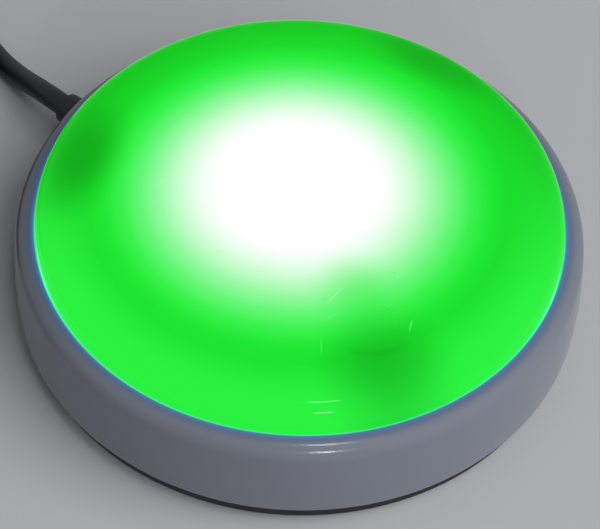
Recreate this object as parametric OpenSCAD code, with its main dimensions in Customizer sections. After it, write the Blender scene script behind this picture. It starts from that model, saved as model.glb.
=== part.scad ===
// Round push button with a lit cap and a USB lead.
// Millimetres, +Z up. The origin is on the table, under the centre of the housing.

/* [Housing] */
// Largest radius of the ring-shaped housing wall
housing_r = 47.1; // [46.9:0.1:52]
// Height of the housing lip above the table
housing_h = 19.9; // [19.5:0.1:24]
// Height of the wall's lower edge above the table
wall_edge_z = 4.1; // [3.6:0.1:4.4]
// Thickness of the wall at its widest place
housing_wall = 2.2; // [1.8:0.1:2.4]
// Thickness of the lip that holds the cap down
lip_t = 2.0; // [1.5:0.1:2.2]
// Rounding between the lip and the wall
lip_round = 2.9; // [2.4:0.1:3.2]
// Rounding of the wall's lower edge
edge_round = 1.2; // [0.6:0.1:1.3]
// Height at which the wall is widest
belly_z = 8.5; // [7:0.5:11]
// Radius of the wall's slight outward bow
belly_r = 76; // [70:1:160]

/* [Cap] */
// Gap between the cap's side and the lip, all round
cap_gap = 0.25; // [0.15:0.05:0.5]
// Width of the lip, from the cap's opening to the start of its rounding
lip_flat = 0.4; // [0.4:0.1:0.6]
// Height of the cap's crown above the lip
crown_rise = 8.7; // [7:0.1:10]
// Radius of the cap's slightly domed top
crown_r = 225; // [180:5:300]
// Rounding between the cap's top and its side
cap_edge_r = 4.2; // [3:0.1:6]
// Thickness of the cap's wall
cap_wall = 2.2; // [1.6:0.1:2.6]
// How far the flange under the lip stands out from the cap's side
flange_w = 1.15; // [0.9:0.05:1.3]
// Thickness of the flange
flange_t = 1.5; // [1:0.1:1.8]
// Free play between the flange and the lip above it
flange_play = 0.1; // [0.05:0.05:0.2]
// Full travel of the cap
travel = 2.5; // [1.5:0.1:2.6]

/* [Posts and springs] */
// Distance of the three posts' axes from the cap's edge
post_inset = 10.15; // [9.8:0.05:12]
// Direction of the first post
post_turn = 53; // [50:1:56]
// Diameter of a post
post_d = 7.2; // [5:0.1:7.6]
// Outer diameter of the collar round a spring's upper end
collar_d = 13; // [12.6:0.1:13.6]
// Wall of the collar
collar_wall = 1.0; // [0.8:0.1:1.1]
// Depth of the collar below the spring's seat
collar_depth = 2.0; // [1:0.1:3]
// Mean diameter of a return spring
spring_d = 9.6; // [9.2:0.1:9.8]
// Diameter of the spring wire
wire_d = 0.9; // [0.6:0.05:1]
// Turns of a spring, with its two closed end turns
spring_turns = 6.5; // [5:0.5:7]

/* [Switches] */
// Width of a switch body
switch_w = 4.5; // [4:0.1:4.6]
// Height of a switch body
switch_h = 3.2; // [2.8:0.1:3.4]
// Height of the plunger's top above the board
plunger_h = 4.3; // [4:0.1:4.6]
// Diameter of a plunger
plunger_d = 2.6; // [2:0.1:2.8]
// Stroke of a plunger
plunger_stroke = 0.25; // [0.15:0.05:0.3]

/* [Bottom cover and foot] */
// How far the cover stands back from the wall above it
cover_setback = 1.4; // [1.2:0.1:1.6]
// How far the rubber foot holds the cover off the table
foot_proud = 1.0; // [0.6:0.1:1.2]
// Thickness of the cover's floor
floor_t = 2.0; // [1.6:0.1:2.2]
// Depth of the groove for the foot
groove_t = 0.9; // [0.6:0.1:1]
// Width of the rubber foot
foot_w = 4.8; // [4.4:0.1:5.2]
// Distance of the foot's outer edge from the cover's edge
foot_inset = 2.4; // [2.2:0.1:2.6]
// Thickness of the rim that locates the cover in the housing
rim_t = 1.8; // [1.2:0.1:2]
// Height of that rim above the wall's lower edge
rim_h = 1.9; // [1.4:0.1:2]

/* [Board] */
// Gap between the circuit board's edge and the housing wall
board_gap = 3.9; // [3.6:0.1:4.4]
// Thickness of the circuit board
board_t = 1.6; // [1.2:0.2:1.6]
// Height of the board's underside above the cover's floor
board_lift = 6.6; // [6.4:0.1:6.8]
// Distance of the board screws from the centre
board_screw_place = 24; // [23:0.5:25]

/* [Screws] */
// Diameter of the three cover screws
cover_screw_d = 2.6; // [2.2:0.1:3]
// Diameter of the housing bosses that they hold
boss_d = 6.4; // [6:0.1:6.6]
// Distance of the cover screws' axes from the housing wall
cover_screw_inset = 4.2; // [4:0.1:4.4]
// Diameter of the small board and clamp screws
small_screw_d = 2; // [1.6:0.1:2.2]

/* [Lead] */
// Diameter of the cord
cord_d = 4; // [3.6:0.1:4.2]
// Direction in which the cord leaves the housing
exit_turn = 141; // [138:1:144]
// Height of the cord's axis where it leaves the housing
exit_z = 7; // [6.8:0.1:7.2]
// Diameter of the grommet's neck in the wall
neck_d = 5.6; // [5.2:0.1:5.8]
// Length of the tapered relief outside the wall
relief_l = 7.7; // [7:0.1:9]

/* [Hidden] */
$fn = 96;

// Small clearances between pieces that fit into each other
slip = 0.1;
bore_slip = 0.04;
cut_over = 1;
thread_slip = 0.1;

// Housing
wall_in = housing_r - housing_wall;
lip_under = housing_h - lip_t;
belly_c = [housing_r - belly_r, belly_z];
top_turn = asin((housing_h - lip_round - belly_z) / (belly_r - lip_round));
low_turn = asin((wall_edge_z + edge_round - belly_z) / (belly_r - edge_round));
top_c = belly_c + (belly_r - lip_round) * [cos(top_turn), sin(top_turn)];
low_c = belly_c + (belly_r - edge_round) * [cos(low_turn), sin(low_turn)];
opening_r = top_c[0] - lip_flat;
lip_edge = 0.3;

// Cap
cap_r = opening_r - cap_gap;
crown_c = [0, housing_h + crown_rise - crown_r];
edge_x = cap_r - cap_edge_r;
edge_c = [edge_x, crown_c[1] + sqrt(pow(crown_r - cap_edge_r, 2) - edge_x * edge_x)];
crown_turn = atan2(edge_c[1] - crown_c[1], edge_x);
flange_r = cap_r + flange_w;
flange_top = lip_under - flange_play;
flange_bottom = flange_top - flange_t;
guide_w = 2;
guide_slip = 0.3;
post_place = cap_r - post_inset;

// Cover, board and what they carry
cover_r = housing_r - cover_setback;
cover_screw_place = wall_in - cover_screw_inset;
board_r = wall_in - board_gap;
floor_z = foot_proud + floor_t;
rim_r = wall_in - slip;
rim_top = wall_edge_z + rim_h;
foot_r = cover_r - foot_inset;
foot_z = foot_proud + groove_t;
board_z = floor_z + board_lift;
board_top = board_z + board_t;
seat_drop = 3.2;
spring_low = board_top + 1;
spring_high = crown_c[1] + crown_r - cap_wall - seat_drop - 0.4;
post_bottom = board_top + plunger_h + travel - plunger_stroke + 0.05;
cup_h = 3;
cup_wall = 0.9;
cup_d = spring_d + wire_d + 2 * (cup_wall + 0.2);
cup_seat_d = 7;
board_screw_grip = 5;
boss_low = floor_z + 2.4;
boss_top = flange_bottom - travel - 0.85;
head_z = foot_z + 1.7;
head_d = 5;
screw_turn = post_turn + 60;
wall_web = 2.4;

// Parts on the board: length, width and height
capacitor_size = [2, 1.25, 1.1];
resistor_size = [2, 1.25, 0.55];
can_place = post_place - 13.9;
can_d = 6.2;
can_h = 5.7;
crystal_size = [11, 4.6, 3.4];
chip_w = 7;
chip_t = 1.2;
pin_pitch = 0.8;

// Lead inside the housing, measured outwards from the centre along the exit direction
clamp_place = wall_in - 6.9;
clamp_l = 4.6;
clamp_w = 15.4;
clamp_t = 2.4;
clamp_post = 5.4;
clamp_post_d = 4.4;
clamp_z = exit_z + 1.2;
clamp_screw_l = 6.4;
jacket_end = wall_in - 9.9;
notch_start = wall_in - 16.4;
notch_w = 17.4;
header_size = [6.4, 12, 5.4];
header_wall = 0.8;
header_place = wall_in - 25.9;
connector_size = [8.1, 10, 3.4];
relief_start = housing_r + 0.2;
relief_end = relief_start + relief_l;
wire_pitch = 2;
lead_wire_d = 0.8;
wire_rise = [[0.1, 0], [1.2, 0.1], [2.8, 1.6], [4.1, 4], [5.8, 6.2], [8, 7], [9.9, 7]];

// Free cord: the stretch beside the button, the coil and the tail to the plug
cord_run = [
    [-42.8, 34.7, 7], [-45, 36.5, 6.9], [-46.9, 38.5, 6.3], [-49, 41, 5.2],
    [-51.2, 43.7, 3.9], [-53.7, 46.7, 2.8], [-56.6, 50.2, 2.1], [-59.6, 54.2, 2.1],
    [-62.6, 58.5, 2.4], [-65.3, 63, 2.6]
];
coil_c = [-93, 45];
coil_outer = 33;
coil_inner = 13.9;
coil_lift = 0.6;
coil_layers = 2;
cord_end = [
    [-125.9, 42.1, 6.6], [-125.2, 34.1, 6.2], [-124.3, 26.2, 4.9], [-123.4, 18.9, 3.4],
    [-122.7, 13.8, 3.3], [-122.2, 9.3, 3.9], [-122, 5.1, 4]
];
plug_at = [-122, 5, 4];
relief_d = 6;
plug_relief_l = 11;
grip_l = 22;
grip_w = 15.6;
grip_t = 8;
shell_l = 12;
shell_w = 12;
shell_t = 4.5;
shell_sheet = 0.3;

function arc(c, r, from, to, n) =
    [for (i = [0:n]) let (a = from + (to - from) * i / n) c + r * [cos(a), sin(a)]];
function unit(v) = v / norm(v);
function heading(path, i) = unit(path[min(i + 1, len(path) - 1)] - path[max(i - 1, 0)]);
function ring_points(path, i, r, sides, ref) =
    let (t = heading(path, i), n = unit(cross(t, ref)), b = cross(t, n))
    [for (k = [0:sides - 1]) path[i] + r * (cos(360 * k / sides) * n + sin(360 * k / sides) * b)];

// A round bar that follows a path; ref is a direction that the path never takes
module sweep(path, r, sides, ref) {
    last = (len(path) - 1) * sides;
    points = [for (i = [0:len(path) - 1]) each ring_points(path, i, r, sides, ref)];
    walls = [for (i = [0:len(path) - 2], k = [0:sides - 1])
        [i * sides + k, (i + 1) * sides + k, (i + 1) * sides + (k + 1) % sides,
         i * sides + (k + 1) % sides]];
    ends = [[for (k = [0:sides - 1]) k], [for (k = [sides - 1:-1:0]) last + k]];
    polyhedron(points, concat(ends, walls));
}

module polar(turn, r) {
    rotate(turn) translate([r, 0, 0]) children();
}

module three(turn, r) {
    for (i = [0:2]) polar(turn + 120 * i, r) children();
}

// Places a shape drawn along +Z so that it runs outwards along the cord's exit
module along_exit(s) {
    rotate(exit_turn) translate([s, 0, exit_z]) rotate([0, 90, 0]) children();
}

// A block with rounded upright edges, centred in X and Y and standing on Z = 0
module rounded_block(l, w, h, r) {
    linear_extrude(h) polygon(concat(
        arc([l / 2 - r, w / 2 - r], r, 0, 90, 4), arc([r - l / 2, w / 2 - r], r, 90, 180, 4),
        arc([r - l / 2, r - w / 2], r, 180, 270, 4), arc([l / 2 - r, r - w / 2], r, 270, 360, 4)));
}

module housing_shell() {
    rotate_extrude() polygon(concat(
        [[wall_in, wall_edge_z]],
        arc(low_c, edge_round, -90, low_turn, 6),
        arc(belly_c, belly_r, low_turn, top_turn, 10),
        arc(top_c, lip_round, top_turn, 90, 8),
        arc([opening_r + lip_edge, housing_h - lip_edge], lip_edge, 90, 180, 3),
        [[opening_r, lip_under], [wall_in, lip_under]]));
}

// White moulded ring: outer wall, inward lip, three screw bosses and three cap guides
module upper_housing() {
    color("#cdd0d9") difference() {
        union() {
            housing_shell();
            three(screw_turn, cover_screw_place) {
                translate([0, 0, boss_low]) cylinder(d = boss_d, h = boss_top - boss_low);
                translate([0, -wall_web / 2, rim_top + 0.3])
                    cube([wall_in - cover_screw_place + 0.4, wall_web, boss_top - rim_top - 0.3]);
            }
            three(screw_turn, cap_r + 0.65)
                translate([0, -guide_w / 2, boss_top - 0.5])
                    cube([wall_in - cap_r - 0.25, guide_w, lip_under - boss_top + 1]);
        }
        three(screw_turn, cover_screw_place) translate([0, 0, boss_low - cut_over])
            cylinder(d = cover_screw_d + thread_slip, h = boss_top - boss_low);
        along_exit(wall_in - cut_over)
            cylinder(d = neck_d + slip, h = housing_wall + 2 * cut_over);
        rotate(exit_turn) translate([wall_in - cut_over, -(neck_d + slip) / 2, 0])
            cube([housing_wall + 2 * cut_over, neck_d + slip, exit_z]);
    }
}

module cover_shell() {
    rotate_extrude() polygon(concat(
        [[0, foot_proud], [foot_r - foot_w - slip, foot_proud], [foot_r - foot_w - slip, foot_z],
         [foot_r + slip, foot_z], [foot_r + slip, foot_proud]],
        arc([cover_r - 0.6, foot_proud + 0.6], 0.6, -90, 0, 4),
        [[cover_r, wall_edge_z], [rim_r, wall_edge_z], [rim_r, rim_top],
         [rim_r - rim_t, rim_top], [rim_r - rim_t, floor_z], [0, floor_z]]));
}

// Black moulded floor: bosses and pillars for the board, posts for the clamp, screw seats
module bottom_cover() {
    color("#17181a") difference() {
        union() {
            cover_shell();
            three(screw_turn, cover_screw_place)
                translate([0, 0, floor_z - 0.5]) cylinder(d = boss_d + 1, h = boss_low - floor_z + 0.5);
            three(screw_turn, board_screw_place)
                translate([0, 0, floor_z - 0.5]) cylinder(d = 6, h = board_lift + 0.5);
            three(post_turn, post_place)
                translate([0, 0, floor_z - 0.5]) cylinder(d = 5, h = board_lift + 0.5);
            for (side = [-1, 1])
                rotate(exit_turn) translate([clamp_place, side * clamp_post, floor_z - 0.5])
                    cylinder(d = clamp_post_d, h = clamp_z - floor_z + 0.5);
            for (i = [0:5]) rotate(screw_turn + 60 * i) translate([7, -0.6, floor_z - 0.5])
                cube([13, 1.2, 2]);
            translate([0, 0, floor_z - 0.5]) difference() {
                cylinder(r = 7.6, h = 2);
                translate([0, 0, -cut_over]) cylinder(r = 6.4, h = 4);
            }
        }
        three(screw_turn, cover_screw_place) {
            cylinder(d = head_d + 0.6, h = head_z);
            cylinder(d = cover_screw_d + 0.5, h = boss_low + cut_over);
            translate([0, 0, boss_low]) cylinder(d = boss_d + 0.6, h = rim_top);
        }
        three(screw_turn, board_screw_place) translate([0, 0, floor_z])
            cylinder(d = small_screw_d + thread_slip, h = board_lift + cut_over);
        for (side = [-1, 1])
            rotate(exit_turn) translate([clamp_place, side * clamp_post, floor_z + 0.4])
                cylinder(d = small_screw_d + thread_slip, h = clamp_z);
        rotate(exit_turn) translate([rim_r - rim_t - cut_over, -(neck_d + slip) / 2, wall_edge_z])
            cube([rim_t + 2 * cut_over, neck_d + slip, rim_h + cut_over]);
    }
}

// Black rubber ring let into the cover: the button stands on it
module foot_ring() {
    in_r = foot_r - foot_w;
    color("#101113") rotate_extrude() polygon(concat(
        [[in_r, foot_z]], arc([in_r + 0.4, 0.4], 0.4, 180, 270, 3),
        arc([foot_r - 0.4, 0.4], 0.4, 270, 360, 3), [[foot_r, foot_z]]));
}

// Outline of the cap's domed top and side, set in by inset from the outer surface
function dome(inset, from, to) = from < to
    ? concat(arc(edge_c, cap_edge_r - inset, 0, crown_turn, 10),
             arc(crown_c, crown_r - inset, crown_turn, 90, 10))
    : concat(arc(crown_c, crown_r - inset, 90, crown_turn, 10),
             arc(edge_c, cap_edge_r - inset, crown_turn, 0, 10));

// Translucent moulded cap: domed shell, holding flange, three posts with spring collars
module lens_cap() {
    inner_r = cap_r - cap_wall;
    color("#34e84c", 0.8) difference() {
        union() {
            rotate_extrude() polygon(concat(
                dome(0, 1, 0),
                [[cap_r, flange_top], [flange_r, flange_top], [flange_r, flange_bottom],
                 [inner_r, flange_bottom]],
                dome(cap_wall, 0, 1)));
            intersection() {
                rotate_extrude() polygon(concat(
                    dome(cap_wall / 2, 1, 0), [[cap_r - cap_wall / 2, post_bottom - 2], [0, post_bottom - 2]]));
                three(post_turn, post_place) {
                    translate([0, 0, post_bottom + 0.8]) cylinder(d = post_d, h = crown_rise + 10);
                    translate([0, 0, post_bottom]) cylinder(d1 = post_d - 1.6, d2 = post_d, h = 0.8);
                    translate([0, 0, spring_high]) cylinder(d = collar_d - collar_wall, h = 10);
                    translate([0, 0, spring_high - collar_depth]) difference() {
                        cylinder(d = collar_d, h = 12);
                        translate([0, 0, -cut_over])
                            cylinder(d = collar_d - 2 * collar_wall, h = collar_depth + 2 * cut_over);
                    }
                }
            }
        }
        three(screw_turn, cap_r + 0.65 - guide_slip)
            translate([0, -guide_w / 2 - guide_slip, flange_bottom - cut_over])
                cube([flange_w + cut_over, guide_w + 2 * guide_slip, flange_t + 2 * cut_over]);
    }
}

// Round board with cut-outs for the housing bosses and the lead
module circuit_board() {
    color("#e9ece8") translate([0, 0, board_z]) difference() {
        cylinder(r = board_r, h = board_t);
        three(screw_turn, cover_screw_place)
            translate([0, 0, -cut_over]) cylinder(d = boss_d + 1.2, h = board_t + 2 * cut_over);
        three(screw_turn, board_screw_place)
            translate([0, 0, -cut_over]) cylinder(d = small_screw_d + 0.4, h = board_t + 2 * cut_over);
        rotate(exit_turn) translate([notch_start, -notch_w / 2, -cut_over])
            cube([board_r, notch_w, board_t + 2 * cut_over]);
    }
}

// Moulded cup that centres a spring round its switch
module spring_cup(i) {
    color("#e4e2da") polar(post_turn + 120 * i, post_place) translate([0, 0, board_top])
        rotate_extrude() polygon([
            [cup_seat_d / 2, 0], [cup_d / 2, 0], [cup_d / 2, cup_h - 0.3], [cup_d / 2 - 0.3, cup_h],
            [cup_d / 2 - cup_wall, cup_h], [cup_d / 2 - cup_wall, spring_low - board_top],
            [cup_seat_d / 2, spring_low - board_top]]);
}

// Compression spring with one closed turn at each end
module return_spring(i) {
    low = spring_low + wire_d / 2 + 0.02;
    high = spring_high - wire_d / 2 - 0.02;
    pitch = (high - low - 2 * wire_d) / (spring_turns - 2);
    step = 1 / 16;
    helix = [for (u = [0:step:spring_turns]) [
        spring_d / 2 * cos(360 * u), spring_d / 2 * sin(360 * u),
        low + wire_d * min(u, 1) + pitch * max(0, min(u - 1, spring_turns - 2))
            + wire_d * max(0, u - spring_turns + 1)]];
    color("#b9bcc0") polar(post_turn + 120 * i, post_place) sweep(helix, wire_d / 2, 6, [0, 0, 1]);
}

// Small push switch soldered to the board
module switch_body(i) {
    color("#2b2c2f") polar(post_turn + 120 * i, post_place) translate([0, 0, board_top])
        difference() {
            union() {
                rounded_block(switch_w, switch_w, switch_h - 0.4, 0.4);
                translate([0, 0, switch_h - 0.4]) rounded_block(switch_w - 0.6, switch_w - 0.6, 0.4, 0.4);
                for (x = [-1, 1], y = [-1, 1])
                    translate([x * (switch_w / 2 + 0.2) - 0.3, y * 1.2 - 0.35, 0]) cube([0.6, 0.7, 0.3]);
            }
            translate([0, 0, switch_h - 2.1]) cylinder(d = plunger_d + 2 * slip, h = 3);
        }
}

module switch_plunger(i) {
    low = switch_h - 2.1 + plunger_stroke + slip / 2;
    color("#1c1d1f") polar(post_turn + 120 * i, post_place) translate([0, 0, board_top + low])
        rotate_extrude() polygon([
            [0, 0], [plunger_d / 2, 0], [plunger_d / 2, plunger_h - low - 0.2],
            [plunger_d / 2 - 0.2, plunger_h - low], [0, plunger_h - low]]);
}

// Light source in the middle of the board
module led_package() {
    color("#f2f1ea") translate([0, 0, board_top]) {
        rounded_block(5, 5, 1.2, 0.4);
        translate([0, 0, 1.2]) rounded_block(4.4, 4.4, 0.3, 0.3);
        for (side = [-1, 1], y = [-1.6, 0, 1.6])
            translate([side * 2.6 - 0.3, y - 0.4, 0]) cube([0.6, 0.8, 0.3]);
    }
}

module led_dome() {
    color("#dfffe4", 0.7) translate([0, 0, board_top + 1.5]) rotate_extrude()
        polygon(concat([[0, 0]], arc([0, 0], 1.9, 0, 90, 8)));
}

// Flat square chip with seven legs on each side
module controller_chip() {
    leg = [1.2, pin_pitch * 0.45, 0.3];
    color("#202124") polar(post_turn + 222.7, post_place - 12.9) translate([0, 0, board_top]) rotate(99.3) {
        translate([0, 0, leg[2] / 2]) rounded_block(chip_w, chip_w, chip_t, 0.3);
        for (quarter = [0:3], k = [-3:3]) rotate(90 * quarter)
            translate([chip_w / 2 - 0.2, pin_pitch * k - leg[1] / 2, 0]) cube(leg);
    }
}

// Drawn metal can on its flange
module crystal_can() {
    flange_l = 0.8;
    foot_t = 0.4;
    color("#c3c6c9") polar(-41, post_place - 13.15) translate([0, 0, board_top]) rotate(81) {
        rounded_block(crystal_size[0], crystal_size[1], foot_t, crystal_size[1] / 2 - 0.1);
        translate([0, 0, foot_t]) rounded_block(crystal_size[0] - flange_l, crystal_size[1] - flange_l,
            crystal_size[2] - foot_t, (crystal_size[1] - flange_l) / 2 - 0.05);
    }
}

// Aluminium can with its rolled groove, on a square base
module electrolytic_capacitor() {
    groove = 0.3;
    color("#3b4a63") polar(43, can_place) translate([0, 0, board_top]) rotate(-43) {
        rounded_block(can_d + 0.4, can_d + 0.4, 0.6, 0.8);
        translate([0, 0, 0.6]) rotate_extrude() polygon([
            [0, 0], [can_d / 2, 0], [can_d / 2, 1], [can_d / 2 - groove, 1 + groove],
            [can_d / 2, 1 + 2 * groove], [can_d / 2, can_h - groove], [can_d / 2 - groove, can_h],
            [0, can_h]]);
    }
}

// Six small ceramic capacitors: direction, distance from the centre and turn of each
module ceramic_capacitors() {
    places = [
        [242, 14.8, 118], [post_turn + 237.6, post_place - 7.4, 159.4], [22, 10.8, 68],
        [214, 14.4, 236], [101, 15.3, 259], [71, post_place - 15, 309]];
    color("#b08a5c") for (p = places) polar(p[0], p[1]) translate([0, 0, board_top]) rotate(p[2])
        rounded_block(capacitor_size[0], capacitor_size[1], capacitor_size[2], 0.15);
}

// Eight small resistors: four round the light, four by the chip
module chip_resistors() {
    row = resistor_size[1] * 1.9;
    color("#26272b") {
        for (i = [0:3]) polar(45 + 90 * i, 8.4) translate([0, 0, board_top])
            rounded_block(resistor_size[1], resistor_size[0], resistor_size[2], 0.1);
        for (k = [0:3]) polar(post_turn + 201, post_place - 7 - row * k) translate([0, 0, board_top])
            rounded_block(resistor_size[1], resistor_size[0], resistor_size[2], 0.1);
    }
}

// Shrouded socket on the board for the lead's plug
module board_header() {
    size = header_size;
    color("#efece0") rotate(exit_turn) translate([header_place, 0, board_top]) difference() {
        translate([-size[0] / 2, -size[1] / 2, 0]) cube(size);
        translate([-size[0] / 2 + header_wall + 0.2, -size[1] / 2 + header_wall, header_wall + 0.2])
            cube([size[0] + cut_over, size[1] - 2 * header_wall, connector_size[2] + 2 * slip]);
    }
}

// The lead's plug, pushed into the socket, with a ridge over each end
module lead_connector() {
    size = connector_size;
    ridge = [2.2, 1, 0.6];
    color("#f4f2ea") rotate(exit_turn)
        translate([header_place - header_size[0] / 2 + header_wall + 0.3, 0, board_top + header_wall + 0.3]) {
            translate([0, -size[1] / 2, 0]) cube(size);
            for (side = [-1, 1])
                translate([size[0] - ridge[0] - 0.2, side * (size[1] / 2 - 0.4) - ridge[1] / 2, size[2]])
                    cube(ridge);
        }
}

// One insulated wire from the jacket's end over the board's edge to the connector
module lead_wire(k, tint) {
    start = (k - 1.5) * (lead_wire_d + 0.15);
    finish = (k - 1.5) * wire_pitch;
    n = len(wire_rise) - 1;
    bend = [for (i = [0:n]) let (mix = (1 - cos(180 * i / n)) / 2)
        [jacket_end - wire_rise[i][0], start + (finish - start) * mix, exit_z + wire_rise[i][1]]];
    color(tint) rotate(exit_turn) sweep(bend, lead_wire_d / 2, 6, [0, 1, 0]);
}

// The cord's own end inside the housing, under the clamp and through the grommet
module lead_jacket() {
    color("#151716") along_exit(jacket_end) cylinder(d = cord_d, h = relief_end - jacket_end);
}

module cord_clamp() {
    color("#dcdad2") rotate(exit_turn) translate([clamp_place, 0, clamp_z]) difference() {
        rotate(90) rounded_block(clamp_w, clamp_l, clamp_t, 1.6);
        translate([-clamp_l, 0, exit_z - clamp_z]) rotate([0, 90, 0])
            cylinder(d = cord_d + bore_slip, h = 2 * clamp_l);
        for (side = [-1, 1]) translate([0, side * clamp_post, -cut_over])
            cylinder(d = small_screw_d + 0.3, h = clamp_t + 2 * cut_over);
    }
}

// A pan-head screw, head up, with its bearing face on Z = 0
module pan_screw(d, l, head, head_t) {
    translate([0, 0, -l]) cylinder(d = d, h = l);
    difference() {
        rotate_extrude() polygon([
            [0, 0], [head / 2, 0], [head / 2, head_t * 0.5], [head / 2 - head_t * 0.4, head_t], [0, head_t]]);
        for (turn = [0, 90]) rotate(turn) translate([-head * 0.28, -0.3, head_t * 0.5])
            cube([head * 0.56, 0.6, head_t]);
    }
}

module clamp_screws() {
    color("#b4b7bb") for (side = [-1, 1])
        rotate(exit_turn) translate([clamp_place, side * clamp_post, clamp_z + clamp_t])
            pan_screw(small_screw_d, clamp_screw_l, 1.9 * small_screw_d, 0.65 * small_screw_d);
}

module board_screws() {
    color("#b4b7bb") three(screw_turn, board_screw_place)
        translate([0, 0, board_top])
            pan_screw(small_screw_d, board_t + board_screw_grip, 2 * small_screw_d, 0.7 * small_screw_d);
}

module cover_screws() {
    color("#9a9da1") three(screw_turn, cover_screw_place)
        translate([0, 0, head_z]) rotate([180, 0, 0])
            pan_screw(cover_screw_d, boss_top - head_z - 2, head_d, 1.5);
}

// Soft moulded grommet on the cord: inner flange, neck in the wall, tapered relief
module cord_grommet() {
    flange = neck_d / 2 + 0.8;
    inner = sqrt(pow(rim_r - rim_t, 2) - flange * flange) - slip;
    bore = (cord_d + bore_slip) / 2;
    tip = cord_d / 2 + 0.45;
    color("#17191a") along_exit(0) rotate_extrude() polygon([
        [bore, inner - 1.5], [flange, inner - 1.5], [flange, inner], [neck_d / 2, inner],
        [neck_d / 2, relief_start], [flange, relief_start], [flange, relief_start + 1.2],
        [flange - 0.3, relief_start + 1.5], [tip + 0.3, relief_end - 0.3], [tip, relief_end],
        [bore, relief_end]]);
}

module cord() {
    color("#151716") sweep(cord_run, cord_d / 2, 10, [0, 0, 1]);
}

// Outer shape of the wound cord, two layers high
module cord_coil() {
    in_r = coil_inner - cord_d / 2;
    out_r = coil_outer + cord_d / 2;
    top = coil_lift + coil_layers * cord_d;
    c = 1.5;
    color("#151716") translate([coil_c[0], coil_c[1], 0]) rotate_extrude() polygon(concat(
        arc([out_r - c, coil_lift + c], c, -90, 0, 3), arc([out_r - c, top - c], c, 0, 90, 3),
        arc([in_r + c, top - c], c, 90, 180, 3), arc([in_r + c, coil_lift + c], c, 180, 270, 3)));
}

module cord_tail() {
    color("#151716") sweep(cord_end, cord_d / 2, 10, [0, 0, 1]);
}

// Flat strap round the coil
module coil_tie() {
    width = 9;
    low_r = coil_inner - cord_d / 2 - 1;
    high_r = coil_outer + cord_d / 2 + slip;
    strap = coil_lift;
    span = high_r - low_r;
    top = coil_layers * cord_d + slip;
    color("#24262a") translate([coil_c[0], coil_c[1], 0]) rotate(285)
        translate([(low_r + high_r) / 2, width / 2, strap + top / 2]) rotate([90, 0, 0])
            translate([0, 0, 0]) difference() {
                rounded_block(span + 2 * strap, top + 2 * strap, width, 1.5);
                translate([0, 0, -cut_over])
                    rounded_block(span, top, width + 2 * cut_over, 0.9);
            }
}

// Places a shape drawn along +Z so that it runs on from the cord's end into the plug
module along_plug(s) {
    translate([plug_at[0], plug_at[1] - s, plug_at[2]]) rotate([90, 0, 0]) children();
}

module plug_relief() {
    color("#17191a") along_plug(0) rotate_extrude() polygon([
        [0, 0], [2.5, 0], [2.6, 1.6], [2.3, 1.7], [2.3, 2.7], [2.75, 2.8], [2.85, 4.6], [2.5, 4.7],
        [2.5, 5.7], [2.95, 5.8], [3.05, 7.6], [2.7, 7.7], [2.7, 8.7], [3.1, 8.8],
        [3.2, plug_relief_l], [0, plug_relief_l]]);
}

// Moulded grip: it widens from the relief, has rounded long edges, finger ribs and a stepped nose
module plug_grip() {
    shoulder = 5;
    nose = 1.2;
    rib_pitch = 1.8;
    color("#191b1c") along_plug(plug_relief_l) {
        hull() {
            rounded_block(grip_w - 6, grip_t - 1.6, 0.2, 2);
            translate([0, 0, shoulder]) rounded_block(grip_w - 1, grip_t, 0.2, 2.4);
        }
        translate([0, 0, shoulder]) rounded_block(grip_w - 1, grip_t, grip_l - nose - shoulder, 2.4);
        for (k = [0:4]) translate([0, 0, shoulder + 1.6 + rib_pitch * k])
            rounded_block(grip_w, grip_t - 2.4, rib_pitch / 2, 2);
        rounded_block(grip_w - 6, grip_t - 2, grip_l, 1.6);
        translate([0, 0, grip_l - nose - 1]) rounded_block(grip_w - 2, grip_t - 2, nose + 1, 1.6);
    }
}

// Folded steel shell with two latch windows in each broad side
module plug_shell() {
    color("#c9ccd0") along_plug(plug_relief_l + grip_l) difference() {
        rounded_block(shell_w, shell_t, shell_l, 0.5);
        translate([0, 0, -cut_over])
            rounded_block(shell_w - 2 * shell_sheet, shell_t - 2 * shell_sheet, shell_l + 2 * cut_over, 0.3);
        for (side = [-1, 1])
            translate([side * 2.9 - 1.1, -shell_t, 5.2]) cube([2.2, 2 * shell_t, 2.2]);
    }
}

module plug_tongue() {
    color("#f1f0ea") along_plug(plug_relief_l + grip_l)
        translate([0, -shell_t / 2 + shell_sheet + 0.95, 0]) rounded_block(11.2, 1.8, shell_l - 0.6, 0.3);
}

module plug_contacts() {
    color("#d9b45c") along_plug(plug_relief_l + grip_l) for (k = [-1.5:1:1.5])
        translate([2.3 * k - 0.5, -shell_t / 2 + shell_sheet + 1.87, 0.4])
            cube([1, 0.25, k * k > 1 ? shell_l - 2.2 : shell_l - 3.2]);
}

upper_housing();
bottom_cover();
foot_ring();
lens_cap();
circuit_board();
spring_cup(0);  // spring_cup_a
spring_cup(1);  // spring_cup_b
spring_cup(2);  // spring_cup_c
return_spring(0);  // return_spring_a
return_spring(1);  // return_spring_b
return_spring(2);  // return_spring_c
switch_body(0);  // switch_body_a
switch_body(1);  // switch_body_b
switch_body(2);  // switch_body_c
switch_plunger(0);  // switch_plunger_a
switch_plunger(1);  // switch_plunger_b
switch_plunger(2);  // switch_plunger_c
led_package();
led_dome();
controller_chip();
crystal_can();
electrolytic_capacitor();
ceramic_capacitors();
chip_resistors();
board_header();
lead_connector();
lead_wire(0, "#b3262a");  // lead_wire_red
lead_wire(1, "#e6e6e2");  // lead_wire_white
lead_wire(2, "#2d8f45");  // lead_wire_green
lead_wire(3, "#1a1b1d");  // lead_wire_black
lead_jacket();
cord_clamp();
clamp_screws();
board_screws();
cover_screws();
cord_grommet();
cord();
cord_coil();
cord_tail();
coil_tie();
plug_relief();
plug_grip();
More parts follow.
